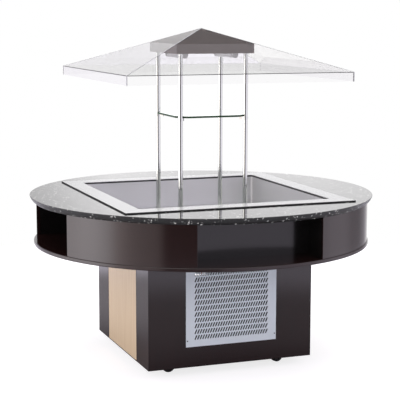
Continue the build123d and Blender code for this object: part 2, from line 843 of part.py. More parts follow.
# Condenser: finned block behind the front grille, with two pipe stubs on top
condenser_top = unit_level + condenser_height
fins = int((condenser_width - fin_end) / fin_pitch)
with BuildPart(Plane((0, condenser_y, unit_level))) as condenser:
    Box(condenser_width, condenser_depth, condenser_height, align=stand)
    with BuildSketch(Plane((0, condenser_y, unit_level + fin_end))):
        with GridLocations(fin_pitch, condenser_depth - fin_depth, fins, 2):
            Rectangle(fin_gap, fin_depth)
    extrude(amount=condenser_height - 2 * fin_end, mode=Mode.SUBTRACT)
    with Locations((0, 0, condenser_height)):
        with GridLocations(stub_spacing, 0, 2, 1):
            Cylinder(coil_tube / 2, stub_height, align=stand)
save(condenser, "condenser")

# Fan shroud: shallow box behind the condenser, with a collar round the fan
collar_radius = fan_radius + fan_tip_gap
with BuildPart(face_plane(90, condenser_back, fan_z)) as fan_shroud:
    Box(condenser_width, condenser_height, shroud_depth, align=stand)
    hollow_width = condenser_width - 2 * shroud_wall
    hollow_height = condenser_height - 2 * shroud_wall
    Box(hollow_width, hollow_height, shroud_depth - shroud_wall, align=stand, mode=Mode.SUBTRACT)
    with Locations((0, 0, shroud_depth)):
        Cylinder(collar_radius + shroud_wall, collar_depth, align=stand)
    Cylinder(collar_radius, shroud_depth + collar_depth, align=stand, mode=Mode.SUBTRACT)
save(fan_shroud, "fan_shroud")

# Fan: blades on a hub, with a shaft that turns in the motor
fan_middle = shroud_back + collar_depth / 2
motor_front = fan_middle + fan_hub_length / 2 + motor_gap
blade_length = fan_radius - fan_hub_radius
blade_root = 4.0
shaft_length = fan_hub_length / 2 + motor_gap + motor_bore_depth - shaft_end_gap
with BuildPart(face_plane(90, fan_middle, fan_z)) as fan_rotor:
    Cylinder(fan_hub_radius, fan_hub_length)
    with PolarLocations(fan_hub_radius + (blade_length - blade_root) / 2, fan_blades):
        Box(blade_length + blade_root, blade_chord, blade_thickness, rotation=(blade_angle, 0, 0))
    Cylinder(fan_radius, fan_hub_length, mode=Mode.INTERSECT)
    Cylinder(fan_shaft_radius, shaft_length, align=stand)
save(fan_rotor, "fan_rotor")

with BuildPart(face_plane(90, motor_front, fan_z)) as fan_motor:
    Cylinder(motor_radius, motor_length, align=stand)
    fillet(fan_motor.edges().filter_by(GeomType.CIRCLE), motor_radius / 6)
    with Locations((0, 0, motor_length / 2)):
        foot_height = fan_z - unit_level
        Box(motor_foot_width, foot_height, motor_length / 2, align=(Align.CENTER, Align.MAX, Align.CENTER))
    Cylinder(fan_shaft_radius + running_fit, motor_bore_depth, align=stand, mode=Mode.SUBTRACT)
save(fan_motor, "fan_motor")

# Compressor: rounded pot on a plate with four feet, a terminal box and two stubs
pot_level = compressor_foot_height + compressor_plate
stub_top = unit_level + pot_level + compressor_height - compressor_round + compressor_stub_height
with BuildPart(Plane((compressor_x, compressor_y, unit_level))) as compressor:
    with Locations((0, 0, pot_level)):
        Cylinder(compressor_radius, compressor_height, align=stand)
    fillet(compressor.edges().filter_by(GeomType.CIRCLE).group_by(Axis.Z)[-1], compressor_round)
    with Locations((0, 0, compressor_foot_height)):
        Box(compressor_plate_length, compressor_plate_width, compressor_plate, align=stand)
    foot_across = compressor_plate_length - 3 * compressor_foot_radius
    foot_along = compressor_plate_width - 3 * compressor_foot_radius
    with GridLocations(foot_across, foot_along, 2, 2):
        Cylinder(compressor_foot_radius, compressor_foot_height, align=stand)
    with Locations((0, compressor_radius, pot_level + compressor_height / 2)):
        Box(terminal_width, terminal_depth, terminal_height)
    with Locations((0, 0, stub_top - unit_level)):
        with GridLocations(compressor_stub_spacing, 0, 2, 1):
            Cylinder(coil_tube / 2, compressor_height / 2 + compressor_stub_height, align=hang)
save(compressor, "compressor")

# Refrigerant lines: discharge, liquid with its drier, and suction
suction_x = compressor_x - compressor_stub_spacing / 2
discharge_x = compressor_x + compressor_stub_spacing / 2
stub_x = stub_spacing / 2
condenser_stub = condenser_top + stub_height
discharge_line = pipe(
    [
        (discharge_x, compressor_y, stub_top),
        (discharge_x, compressor_y, discharge_level),
        (stub_x, compressor_y, discharge_level),
        (stub_x, condenser_y, discharge_level),
        (stub_x, condenser_y, condenser_stub),
    ],
    [pipe_bend] * 3,
)
liquid_line = pipe(
    [
        (-stub_x, condenser_y, condenser_stub),
        (-stub_x, condenser_y, liquid_level),
        (-coil_half_length, condenser_y, liquid_level),
        (-coil_half_length, condenser_y, coil_end),
    ],
    [pipe_bend] * 2,
)
suction_line = pipe(
    [
        (-coil_half_length, coil_half_width, coil_end),
        (-coil_half_length, coil_half_width, suction_level),
        (-coil_half_length, compressor_y, suction_level),
        (suction_x, compressor_y, suction_level),
        (suction_x, compressor_y, stub_top),
    ],
    [pipe_bend] * 3,
)
drier_middle = -(stub_x + coil_half_length) / 2
with BuildPart(Plane((drier_middle, condenser_y, liquid_level), z_dir=(1, 0, 0))) as drier:
    Cylinder(drier_radius, drier_length)
    fillet(drier.edges().filter_by(GeomType.CIRCLE), drier_radius / 4)
with BuildPart() as refrigerant_pipes:
    add([discharge_line.part, liquid_line.part, suction_line.part, drier.part])
save(refrigerant_pipes, "refrigerant_pipes")

# Control panel: face plate and housing in the back panel, with two switch wells and a knob boss
control_plane = face_plane(sides["back"], base_half, control_z, control_x)
switch_half_height = switch_height / 2
switch_corner = hypot(switch_half_height, switch_front + switch_half_height * sin(radians(switch_tilt)))
well_width = switch_width + 2 * switch_side_gap
well_height = 2 * (switch_corner + switch_side_gap)
pivot_depth = switch_front - control_plate
switch_places = [(-switch_spacing / 2, switch_z), (switch_spacing / 2, switch_z)]
with BuildPart(control_plane) as control_panel:
    Box(control_width, control_height, control_plate, align=stand)
    Box(control_box_width, control_box_height, control_depth, align=hang)
    inner_width = control_box_width - 2 * control_wall
    inner_height = control_box_height - 2 * control_wall
    Box(inner_width, inner_height, control_depth - control_wall, align=hang, mode=Mode.SUBTRACT)
    with Locations(*switch_places):
        housing_width = well_width + 2 * switch_housing_wall
        housing_height = well_height + 2 * switch_housing_wall
        Box(housing_width, housing_height, switch_housing_depth, align=hang)
    with Locations((0, knob_z)):
        Cylinder(knob_boss_radius, knob_boss_length, align=hang)
    with Locations(*[(x, y, control_plate) for x, y in switch_places]):
        Box(well_width, well_height, switch_housing_depth + control_plate, align=hang, mode=Mode.SUBTRACT)
    with Locations(*[Location((x, y, -pivot_depth), (0, 90, 0)) for x, y in switch_places]):
        Cylinder(switch_pin_radius, housing_width)
    with Locations((0, knob_z, control_plate)):
        bore_length = knob_boss_length + control_plate
        Cylinder(knob_shaft_radius + running_fit, bore_length, align=hang, mode=Mode.SUBTRACT)
save(control_panel, "control_panel")

# Rocker switches: two shallow faces that meet over the pivot, at rest with the lower half pressed in
rocker_rise = switch_half_height * sin(radians(switch_tilt))
rocker_outline = [
    (-switch_half_height, -switch_back),
    (switch_half_height, -switch_back),
    (switch_half_height, switch_front + rocker_rise),
    (0, switch_front),
    (-switch_half_height, switch_front + rocker_rise),
]
for name, place in zip(("cooling_switch", "light_switch"), switch_places):
    pivot = control_plane.from_local_coords(Vector(place[0], place[1], -pivot_depth))
    tilt = radians(switch_tilt)
    rocker_plane = Plane(
        origin=pivot,
        x_dir=control_plane.y_dir * cos(tilt) + control_plane.z_dir * sin(tilt),
        z_dir=control_plane.x_dir,
    )
    with BuildPart() as rocker:
        with BuildSketch(rocker_plane):
            Polygon(*rocker_outline, align=None)
            Circle(switch_pin_radius + running_fit, mode=Mode.SUBTRACT)
        extrude(amount=switch_width / 2, both=True)
    save(rocker, name)

# Thermostat knob: fluted grip with a raised pointer, on a shaft through the plate
knob_plane = Plane(
    origin=control_plane.from_local_coords(Vector(0, knob_z, control_plate + knob_gap)),
    x_dir=control_plane.x_dir,
    z_dir=control_plane.z_dir,
)
with BuildPart(knob_plane) as thermostat_knob:
    Cylinder(knob_radius, knob_height, align=stand)
    with PolarLocations(knob_radius + knob_flute_radius / 2, knob_flutes):
        Cylinder(knob_flute_radius, knob_height, align=stand, mode=Mode.SUBTRACT)
    Cylinder(knob_shaft_radius, knob_shaft_length, align=hang)
    with Locations((0, knob_radius / 2, knob_height)):
        Box(pointer_width, knob_radius * 0.7, pointer_height, align=stand)
save(thermostat_knob, "thermostat_knob")

# Gland for the mains lead, through the back panel
gland_length = gland_thread_length + gland_flange_height + gland_dome_length
with BuildPart(face_plane(sides["back"], base_half, gland_z, gland_x)) as cable_gland:
    Cylinder(gland_thread_radius, gland_thread_length, align=hang)
    with BuildSketch(face_plane(sides["back"], base_half, gland_z, gland_x)):
        RegularPolygon(gland_flange_radius, 6)
    extrude(amount=gland_flange_height)
    with Locations((0, 0, gland_flange_height)):
        Cylinder(gland_dome_radius, gland_dome_length, align=stand)
    fillet(cable_gland.edges().filter_by(GeomType.CIRCLE).group_by(Axis.Y)[-1], gland_dome_radius / 3)
    with Locations((0, 0, -gland_thread_length)):
        Cylinder(gland_bore, gland_length, align=stand, mode=Mode.SUBTRACT)
save(cable_gland, "cable_gland")
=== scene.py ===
import json
from math import cos, pi, radians, sin

import bmesh
import bpy
from mathutils import Matrix, Vector


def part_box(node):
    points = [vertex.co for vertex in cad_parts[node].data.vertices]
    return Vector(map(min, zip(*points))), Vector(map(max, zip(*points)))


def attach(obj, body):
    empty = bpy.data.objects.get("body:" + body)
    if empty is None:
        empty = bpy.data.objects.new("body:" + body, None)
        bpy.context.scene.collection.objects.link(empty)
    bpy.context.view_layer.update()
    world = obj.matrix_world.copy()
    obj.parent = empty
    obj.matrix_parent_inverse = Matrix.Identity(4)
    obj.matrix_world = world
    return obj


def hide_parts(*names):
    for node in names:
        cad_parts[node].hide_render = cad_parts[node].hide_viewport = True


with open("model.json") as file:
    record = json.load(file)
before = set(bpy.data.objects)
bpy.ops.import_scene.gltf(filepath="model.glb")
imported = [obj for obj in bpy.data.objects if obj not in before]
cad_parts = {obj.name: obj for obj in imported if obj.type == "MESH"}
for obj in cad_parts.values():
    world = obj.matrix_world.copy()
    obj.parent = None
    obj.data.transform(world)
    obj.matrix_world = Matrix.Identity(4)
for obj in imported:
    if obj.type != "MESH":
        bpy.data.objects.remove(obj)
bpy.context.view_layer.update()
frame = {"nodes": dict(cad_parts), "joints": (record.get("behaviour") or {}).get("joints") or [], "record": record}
nodes = frame["nodes"]
scene = bpy.context.scene
scene.view_settings.view_transform = "Standard"

CORNERS = {"front_left": (-1, -1), "front_right": (1, -1), "back_left": (-1, 1), "back_right": (1, 1)}

# Sizes of the part that the pieces follow, in metres, and the rockers' tilt in degrees
PANEL = 0.018
POST_SPACING = 0.375
POST_RADIUS = 0.0125
SHELF_CORNER_GAP = 0.0016
CANOPY_LIP = 0.05
LAMP_WIDTH = 0.036
WHEEL_RADIUS = 0.0375
SCREW_HEAD_RADIUS = 0.0036
SCREW_HEAD_HEIGHT = 0.0022
KNOB_LEVEL = 0.392
SWITCH_FRONT = 0.005
SWITCH_TILT = 10

# Camera, at the photograph's viewing angle
CAMERA_YAW = radians(20.5348)
CAMERA_PAN = radians(0.0439)
CAMERA_PITCH = radians(8.4616)
CAMERA_ROLL = radians(0.0797)
CAMERA_DISTANCE = 6.9268
CAMERA_HEIGHT = 1.8971
CAMERA_LENS = 112.65

camera_data = bpy.data.cameras.new("camera")
camera_data.sensor_width = 36
camera_data.lens = CAMERA_LENS
camera_data.clip_end = 200
camera = bpy.data.objects.new("camera", camera_data)
scene.collection.objects.link(camera)
camera.location = (-CAMERA_DISTANCE * sin(CAMERA_YAW), -CAMERA_DISTANCE * cos(CAMERA_YAW), CAMERA_HEIGHT)
aim = Matrix.Rotation(CAMERA_PAN - CAMERA_YAW, 4, "Z")
aim = aim @ Matrix.Rotation(pi / 2 - CAMERA_PITCH, 4, "X") @ Matrix.Rotation(CAMERA_ROLL, 4, "Z")
camera.rotation_euler = aim.to_euler()
scene.camera = camera


def linear(red, green, blue):
    """Linear colour of an sRGB colour given in 0 to 255."""
    def channel(value):
        value /= 255
        return value / 12.92 if value <= 0.04045 else ((value + 0.055) / 1.055) ** 2.4
    return channel(red), channel(green), channel(blue)


def shade(color, share):
    """A colour with each channel multiplied by a share."""
    return tuple(share * c for c in color)


# Node helpers

def add_node(tree, kind, inputs=None, **settings):
    """New node with its settings made and its sockets set or linked."""
    node = tree.nodes.new(kind)
    for key, value in settings.items():
        setattr(node, key, value)
    for key, value in (inputs or {}).items():
        if isinstance(value, bpy.types.NodeSocket):
            tree.links.new(value, node.inputs[key])
        else:
            node.inputs[key].default_value = value
    return node


def calculate(tree, operation, first, second=0.5):
    """Result of one step of arithmetic on one or two values."""
    return add_node(tree, "ShaderNodeMath", {0: first, 1: second}, operation=operation).outputs[0]


def new_material(name, color, roughness, metallic=0.0, **sockets):
    """Principled material, and its tree and shader."""
    mat = bpy.data.materials.new(name)
    mat.use_nodes = True
    tree = mat.node_tree
    shader = tree.nodes["Principled BSDF"]
    shader.inputs["Base Color"].default_value = (*color, 1)
    shader.inputs["Roughness"].default_value = roughness
    shader.inputs["Metallic"].default_value = metallic
    for key, value in sockets.items():
        shader.inputs[key.replace("_", " ").title().replace("Ior", "IOR")].default_value = value
    mat.diffuse_color = (*color, 1)
    return mat, tree, shader


def place(tree, stretch=(1, 1, 1), source=None):
    """Object coordinates, stretched along each axis."""
    if source is None:
        source = add_node(tree, "ShaderNodeTexCoord").outputs["Object"]
    return add_node(tree, "ShaderNodeMapping", {"Vector": source, "Scale": stretch}).outputs["Vector"]


def noise(tree, vector, scale, detail=4.0, roughness=0.55):
    """Noise value from 0 to 1."""
    inputs = {"Vector": vector, "Scale": scale, "Detail": detail, "Roughness": roughness}
    return add_node(tree, "ShaderNodeTexNoise", inputs).outputs["Fac"]


def ramp(tree, factor, stops):
    """Colour ramp through the given places and colours."""
    node = add_node(tree, "ShaderNodeValToRGB", {"Fac": factor})
    elements = node.color_ramp.elements
    elements[0].position = stops[0][0]
    elements[1].position = stops[-1][0]
    for position, _ in stops[1:-1]:
        elements.new(position)
    for element, (_, color) in zip(elements, stops):
        element.color = (*color, 1) if hasattr(color, "__len__") else (color, color, color, 1)
    return node.outputs["Color"]


def spread(tree, value, low, high):
    """A value from 0 to 1 moved to another range."""
    inputs = {"Value": value, "To Min": low, "To Max": high}
    return add_node(tree, "ShaderNodeMapRange", inputs).outputs["Result"]


def blend_colors(tree, factor, first, second):
    """Mix of two colours by a factor."""
    node = add_node(tree, "ShaderNodeMix", data_type="RGBA")
    for socket, value in ((node.inputs[0], factor), (node.inputs[6], first), (node.inputs[7], second)):
        if isinstance(value, bpy.types.NodeSocket):
            tree.links.new(value, socket)
        elif hasattr(value, "__len__"):
            socket.default_value = (*value, 1)
        else:
            socket.default_value = value
    return node.outputs[2]


def add_bump(tree, shader, height, strength, distance):
    """Bump on a shader's normal."""
    inputs = {"Height": height, "Strength": strength, "Distance": distance}
    node = add_node(tree, "ShaderNodeBump", inputs)
    tree.links.new(node.outputs["Normal"], shader.inputs["Normal"])


def set_color(tree, shader, color):
    """Links a colour to a shader."""
    tree.links.new(color, shader.inputs["Base Color"])


def set_roughness(tree, shader, value):
    """Links a roughness to a shader."""
    tree.links.new(value, shader.inputs["Roughness"])


# Materials

def granite():
    """Black granite with pale flecks, polished on its upper face and honed on its edge."""
    mat, tree, shader = new_material("granite", (0.02, 0.02, 0.02), 0.06, ior=1.55)
    at = place(tree)
    grains = noise(tree, at, 130, 5, 0.7)
    ground = ramp(tree, grains, [
        (0.36, (0.003, 0.003, 0.0035)), (0.55, (0.007, 0.008, 0.0075)), (0.66, (0.03, 0.034, 0.031)),
    ])
    patches = noise(tree, at, 55, 6, 0.72)
    patch = ramp(tree, patches, [(0.6, 0.0), (0.64, 1.0)])
    tone = ramp(tree, noise(tree, at, 32, 2), [
        (0.36, (0.02, 0.026, 0.023)), (0.5, (0.09, 0.104, 0.092)), (0.62, (0.32, 0.33, 0.3)),
    ])
    color = blend_colors(tree, patch, ground, tone)
    cells = add_node(tree, "ShaderNodeTexVoronoi", {"Vector": at, "Scale": 68, "Randomness": 1.0})
    pick = add_node(tree, "ShaderNodeSeparateColor", {"Color": cells.outputs["Color"]})
    ragged = spread(tree, noise(tree, at, 210, 4, 0.7), -0.75, 0.75)
    edge = calculate(tree, "ADD", cells.outputs["Distance"], ragged)
    core = ramp(tree, edge, [(0.24, 1.0), (0.3, 0.0)])
    rare = ramp(tree, pick.outputs["Red"], [(0.73, 0.0), (0.75, 1.0)])
    crystal = calculate(tree, "MULTIPLY", core, rare)
    sparkle = ramp(tree, pick.outputs["Green"], [(0.2, (0.4, 0.43, 0.4)), (0.8, (0.84, 0.85, 0.8))])
    color = blend_colors(tree, crystal, color, sparkle)
    set_color(tree, shader, color)
    normal = add_node(tree, "ShaderNodeNewGeometry").outputs["Normal"]
    facing = add_node(tree, "ShaderNodeSeparateXYZ", {"Vector": normal}).outputs["Z"]
    upper = ramp(tree, facing, [(0.6, 0.0), (0.95, 1.0)])
    honed = spread(tree, grains, 0.36, 0.46)
    polish = spread(tree, noise(tree, at, 35, 3), 0.035, 0.085)
    set_roughness(tree, shader, blend_colors(tree, upper, honed, polish))
    return mat


def brushed(name, color, stretch, low=0.22, high=0.34, mitred=False):
    """Brushed steel; mitred turns the brush lines at a square frame's corners."""
    mat, tree, shader = new_material(name, color, 0.27, 1.0)
    lines = noise(tree, place(tree, stretch), 1, 3, 0.6)
    if mitred:
        point = add_node(tree, "ShaderNodeTexCoord").outputs["Object"]
        axes = add_node(tree, "ShaderNodeSeparateXYZ", {"Vector": point})
        across = calculate(tree, "ABSOLUTE", axes.outputs["X"])
        along = calculate(tree, "ABSOLUTE", axes.outputs["Y"])
        beside = calculate(tree, "GREATER_THAN", across, along)
        turned = noise(tree, place(tree, (stretch[1], stretch[0], stretch[2])), 1, 3, 0.6)
        lines = blend_colors(tree, beside, lines, turned)
    cloud = noise(tree, place(tree), 3, 2)
    darker = shade(color, 0.94)
    set_color(tree, shader, blend_colors(tree, cloud, darker, color))
    set_roughness(tree, shader, spread(tree, lines, low, high))
    add_bump(tree, shader, lines, 0.03, 0.0003)
    return mat


def polished(name, color, low, high):
    """Bright metal with a faint haze between two roughnesses."""
    mat, tree, shader = new_material(name, color, low, 1.0)
    haze = noise(tree, place(tree, (30, 30, 4)), 1, 4)
    set_roughness(tree, shader, spread(tree, haze, low, high))
    return mat


def laminate(name, dark, light, stretch, roughness, around=0.0):
    """Fine-grained wood laminate; around is a radius when the grain follows a drum."""
    mat, tree, shader = new_material(name, dark, roughness)
    source = None
    if around:
        point = add_node(tree, "ShaderNodeTexCoord").outputs["Object"]
        axes = add_node(tree, "ShaderNodeSeparateXYZ", {"Vector": point})
        turn = calculate(tree, "ARCTAN2", axes.outputs["Y"], axes.outputs["X"])
        run = calculate(tree, "MULTIPLY", turn, around)
        wrapped = add_node(tree, "ShaderNodeCombineXYZ", {"X": run, "Z": axes.outputs["Z"]})
        source = wrapped.outputs["Vector"]
    at = place(tree, stretch, source)
    broad = noise(tree, at, 1, 5, 0.65)
    pores = noise(tree, at, 5.3, 2, 0.5)
    mid = tuple((a + b) / 2 for a, b in zip(dark, light))
    streak = ramp(tree, broad, [(0.34, dark), (0.5, mid), (0.68, light)])
    pore = ramp(tree, pores, [(0.3, 1.0), (0.42, 0.0)])
    set_color(tree, shader, blend_colors(tree, pore, streak, shade(dark, 0.55)))
    set_roughness(tree, shader, spread(tree, pores, roughness * 0.75, roughness * 1.3))
    add_bump(tree, shader, pores, 0.03, 0.0003)
    return mat


def maple(name):
    """Pale wood with an upright grain."""
    light = linear(217, 197, 166)
    mid = linear(211, 189, 155)
    dark = linear(201, 176, 140)
    mat, tree, shader = new_material(name, mid, 0.36)
    at = place(tree, (70, 70, 1.8))
    warp = noise(tree, place(tree, (3, 3, 0.8)), 1, 3)
    grain = noise(tree, at, 1.5, 6, 0.6)
    fine = noise(tree, place(tree, (420, 420, 9)), 1, 2)
    figure = ramp(tree, grain, [(0.3, dark), (0.46, mid), (0.62, light), (0.8, mid)])
    cloudy = blend_colors(tree, spread(tree, warp, 0.0, 0.35), figure, light)
    fleck = ramp(tree, fine, [(0.28, 1.0), (0.4, 0.0)])
    speck = calculate(tree, "MULTIPLY", fleck, 0.35)
    set_color(tree, shader, blend_colors(tree, speck, cloudy, dark))
    set_roughness(tree, shader, spread(tree, fine, 0.3, 0.44))
    add_bump(tree, shader, fine, 0.04, 0.0003)
    return mat


def paint(name, color, roughness, peel=0.05, scale=900):
    """Paint or plastic with a fine skin of the given scale."""
    mat, tree, shader = new_material(name, color, roughness)
    at = place(tree)
    cloud = noise(tree, at, 9, 3)
    set_color(tree, shader, blend_colors(tree, cloud, shade(color, 0.92), color))
    skin = noise(tree, at, scale, 2)
    set_roughness(tree, shader, spread(tree, skin, roughness * 0.85, roughness * 1.2))
    add_bump(tree, shader, skin, peel, 0.0003)
    return mat


def zinc(name, color, roughness):
    """Zinc-coated sheet with its flower-like spangle."""
    mat, tree, shader = new_material(name, color, roughness, 1.0)
    at = place(tree)
    cells = add_node(tree, "ShaderNodeTexVoronoi", {"Vector": at, "Scale": 90})
    pick = add_node(tree, "ShaderNodeSeparateColor", {"Color": cells.outputs["Color"]})
    set_color(tree, shader, blend_colors(tree, pick.outputs["Red"], shade(color, 0.75), color))
    set_roughness(tree, shader, spread(tree, pick.outputs["Green"], roughness * 0.8, roughness * 1.25))
    return mat


def glass(name, color, ior=1.49):
    """Clear sheet with a trace of film on it."""
    mat, tree, shader = new_material(name, color, 0.0, ior=ior, transmission_weight=1.0)
    film = noise(tree, place(tree), 2.5, 2)
    set_roughness(tree, shader, spread(tree, film, 0.0, 0.012))
    return mat


def frosted(name, color):
    """Milky plastic."""
    mat, tree, shader = new_material(name, color, 0.3)
    shader.inputs["Subsurface Weight"].default_value = 0.4
    shader.inputs["Subsurface Radius"].default_value = (0.01, 0.01, 0.01)
    grain = noise(tree, place(tree), 700, 2)
    set_roughness(tree, shader, spread(tree, grain, 0.24, 0.36))
    add_bump(tree, shader, grain, 0.04, 0.0003)
    return mat


def ground_glass(name, color, roughness):
    """Ground edge of green glass."""
    mat, tree, shader = new_material(name, color, roughness, specular_ior_level=0.12)
    scratches = noise(tree, place(tree, (1, 1, 40)), 260, 3)
    set_color(tree, shader, blend_colors(tree, scratches, shade(color, 0.8), color))
    set_roughness(tree, shader, spread(tree, scratches, roughness * 0.85, roughness * 1.2))
    add_bump(tree, shader, scratches, 0.05, 0.0003)
    return mat


def foam(name, color):
    """Rigid foam with open cells."""
    mat, tree, shader = new_material(name, color, 0.9)
    at = place(tree)
    cells = add_node(tree, "ShaderNodeTexVoronoi", {"Vector": at, "Scale": 260})
    set_color(tree, shader, blend_colors(tree, cells.outputs["Distance"], shade(color, 0.7), color))
    add_bump(tree, shader, cells.outputs["Distance"], 0.4, 0.001)
    return mat


WENGE_DARK = (0.0105, 0.0042, 0.0041)
WENGE_LIGHT = (0.018, 0.0075, 0.0070)
INK_DARK = (0.006, 0.0055, 0.0055)
INK_LIGHT = (0.01, 0.009, 0.009)
BLACK = (0.011, 0.011, 0.012)
DRUM_GRAIN_RADIUS = 0.915
materials = {
    "granite": granite(),
    "black_rubber": paint("black_rubber", (0.013, 0.013, 0.014), 0.62, 0.2, 500),
    "stainless": brushed("stainless", (0.74, 0.745, 0.75), (8, 700, 8), 0.34, 0.48),
    "rim_steel": brushed("rim_steel", (0.7, 0.705, 0.71), (8, 700, 8), 0.2, 0.3, mitred=True),
    "tank_steel": brushed("tank_steel", (0.74, 0.745, 0.75), (8, 8, 700), 0.36, 0.5),
    "black_plastic": paint("black_plastic", BLACK, 0.38, 0.12, 1400),
    "foam": foam("foam", (0.72, 0.6, 0.33)),
    "galvanised": zinc("galvanised", (0.5, 0.52, 0.54), 0.34),
    "copper": polished("copper", (0.72, 0.33, 0.19), 0.16, 0.32),
    "brass": polished("brass", (0.74, 0.54, 0.23), 0.18, 0.32),
    "lever_paint": paint("lever_paint", (0.42, 0.015, 0.012), 0.3),
    "shelf_glass": glass("shelf_glass", (0.86, 0.95, 0.92), 1.52),
    "taupe_paint": paint("taupe_paint", (0.112, 0.076, 0.070), 0.36, 0.06, 800),
    "lamp_paint": paint("lamp_paint", (0.55, 0.55, 0.56), 0.35),
    "diffuser": frosted("diffuser", (0.78, 0.79, 0.8)),
    "dark_laminate": laminate("dark_laminate", WENGE_DARK, WENGE_LIGHT, (210, 210, 5), 0.13),
    "drum_laminate": laminate("drum_laminate", WENGE_DARK, WENGE_LIGHT, (5, 5, 210), 0.13, DRUM_GRAIN_RADIUS),
    "black_laminate": laminate("black_laminate", INK_DARK, INK_LIGHT, (5, 5, 200), 0.14),
    "black_paint": paint("black_paint", BLACK, 0.4, 0.1, 700),
    "plate_paint": paint("plate_paint", (0.06, 0.06, 0.063), 0.42, 0.1, 700),
    "pale_maple": maple("pale_maple"),
    "grille_paint": paint("grille_paint", (0.735, 0.82, 0.86), 0.34, 0.05, 900),
    "screw_black": paint("screw_black", (0.02, 0.02, 0.021), 0.35),
    # Near-black condenser fins: a black coating, and also painted shade for the dark inside the base seen through
    # the grille's slots
    "fin_aluminium": paint("fin_aluminium", (0.02, 0.02, 0.022), 0.5),
    "switch_plastic": paint("switch_plastic", (0.018, 0.018, 0.018), 0.16, 0.02),
    "zinc": polished("zinc", (0.58, 0.59, 0.6), 0.2, 0.34),
    "post_chrome": polished("post_chrome", (0.64, 0.67, 0.635), 0.08, 0.14),
    "canopy_glass": glass("canopy_glass", (0.942, 0.942, 0.937)),
    "glass_edge": ground_glass("glass_edge", (0.026, 0.068, 0.03), 0.22),
    "cement": paint("cement", (0.5, 0.51, 0.52), 0.12, 0.02),
    "lamp_cap": frosted("lamp_cap", (0.8, 0.8, 0.8)),
    "edge_band": laminate("edge_band", WENGE_DARK, WENGE_LIGHT, (210, 210, 5), 0.2),
    # Dark red of the strips beside the inlays is painted shade for the shadow gap at their borders
    "gap_shade_strip": paint("gap_shade_strip", (0.055, 0.018, 0.016), 0.3, 0.08, 1200),
    "mark_white": paint("mark_white", (0.7, 0.7, 0.68), 0.5),
}

# Each node takes the look of its slot, apart from these
OWN_LOOKS = {"well_rim": "rim_steel", "well_tank": "tank_steel", "control_panel": "plate_paint"}
node_slots = {entry["node"]: entry["material_slot"] for entry in frame["record"]["subparts"]}
for name, obj in nodes.items():
    slot = OWN_LOOKS.get(name, node_slots[name])
    if name.startswith("drum_panel"):
        slot = "drum_laminate"
    for holder in obj.material_slots:
        holder.material = materials[slot]

# Light: a white room, dim behind the camera, with a large soft light on its left and one overhead
CEILING = 0.7
OVERHEAD = 3.6
PEAK = 4.6
# Each row is a bearing from the camera's own side, in degrees, rightwards as positive, and a level
WALLS = [
    (-180, 1.35), (-176, 1.55), (-172, 0.9), (-165, 0.85), (-150, 0.9), (-139, 0.86), (-126, 0.92),
    (-112, 2.0), (-97, 2.9), (-85, 3.9), (-75, 4.2), (-65, 3.5), (-56, 2.2), (-47, 1.45), (-38, 1.15),
    (-28, 0.95), (-23, 0.12), (11, 0.1), (16, 0.6), (41, 1.08), (70, 1.1), (98, 1.45), (112, 1.1),
    (124, 0.58), (136, 0.4), (150, 0.55), (168, 1.25), (175, 1.4), (180, 1.35),
]
UPPER_WALLS = [
    (-180, 0.38), (-150, 0.28), (-120, 0.8), (-90, 2.2), (-50, 2.0), (-20, 1.2), (40, 1.2), (80, 1.3),
    (110, 0.8), (140, 0.38), (180, 0.38),
]
# Heights of a direction, from -1 to 1, between which one light passes into the next
WALLS_TO_UPPER = (0.14, 0.33)
UPPER_TO_CEILING = (0.6, 0.8)
CEILING_TO_OVERHEAD = (0.85, 0.92)
# Each row is the bearing up to which the walls have a tint, and the tint
TINTS = [
    (-160, (1, 0.99, 1)), (-120, (1.01, 0.955, 1.07)), (-60, (1.01, 0.96, 0.985)), (-25, (1, 0.88, 0.88)),
    (12, (1, 1, 1)), (75, (1.02, 0.945, 1.09)), (160, (1.01, 0.95, 1.05)), (180, (1, 0.99, 1)),
]
world = bpy.data.worlds.new("studio")
scene.world = world
world.use_nodes = True
tree = world.node_tree
tree.nodes.clear()
direction = add_node(tree, "ShaderNodeTexCoord").outputs["Generated"]
to_camera = Vector((-sin(CAMERA_YAW), -cos(CAMERA_YAW), 0))
to_right = Vector((cos(CAMERA_YAW), -sin(CAMERA_YAW), 0))
ahead = add_node(tree, "ShaderNodeVectorMath", {0: direction, 1: to_camera}, operation="DOT_PRODUCT")
aside = add_node(tree, "ShaderNodeVectorMath", {0: direction, 1: to_right}, operation="DOT_PRODUCT")
bearing = calculate(tree, "ARCTAN2", aside.outputs["Value"], ahead.outputs["Value"])
whole_turn = {"Value": bearing, "From Min": -pi, "From Max": pi}
bearing = add_node(tree, "ShaderNodeMapRange", whole_turn).outputs["Result"]


def ring_of_light(rows):
    """Colours all round the room, from rows of bearing and level that a ramp holds as shares of the peak."""
    stops = []
    for angle, level in rows:
        tint = next(color for end, color in TINTS if angle <= end)
        stops.append((angle / 360 + 0.5, tuple(level * t / PEAK for t in tint)))
    colors = ramp(tree, bearing, stops)
    return add_node(tree, "ShaderNodeVectorMath", {0: colors, 3: PEAK}, operation="SCALE").outputs["Vector"]


height = add_node(tree, "ShaderNodeSeparateXYZ", {"Vector": direction}).outputs["Z"]


def rising(low, high):
    """From 0 to 1 as a direction's height goes from low to high."""
    inputs = {"Value": height, "From Min": low, "From Max": high}
    return add_node(tree, "ShaderNodeMapRange", inputs, interpolation_type="SMOOTHSTEP").outputs["Result"]


room = blend_colors(tree, rising(*WALLS_TO_UPPER), ring_of_light(WALLS), ring_of_light(UPPER_WALLS))
room = blend_colors(tree, rising(*UPPER_TO_CEILING), room, (CEILING, CEILING, CEILING))
room = blend_colors(tree, rising(*CEILING_TO_OVERHEAD), room, (OVERHEAD, OVERHEAD, OVERHEAD))


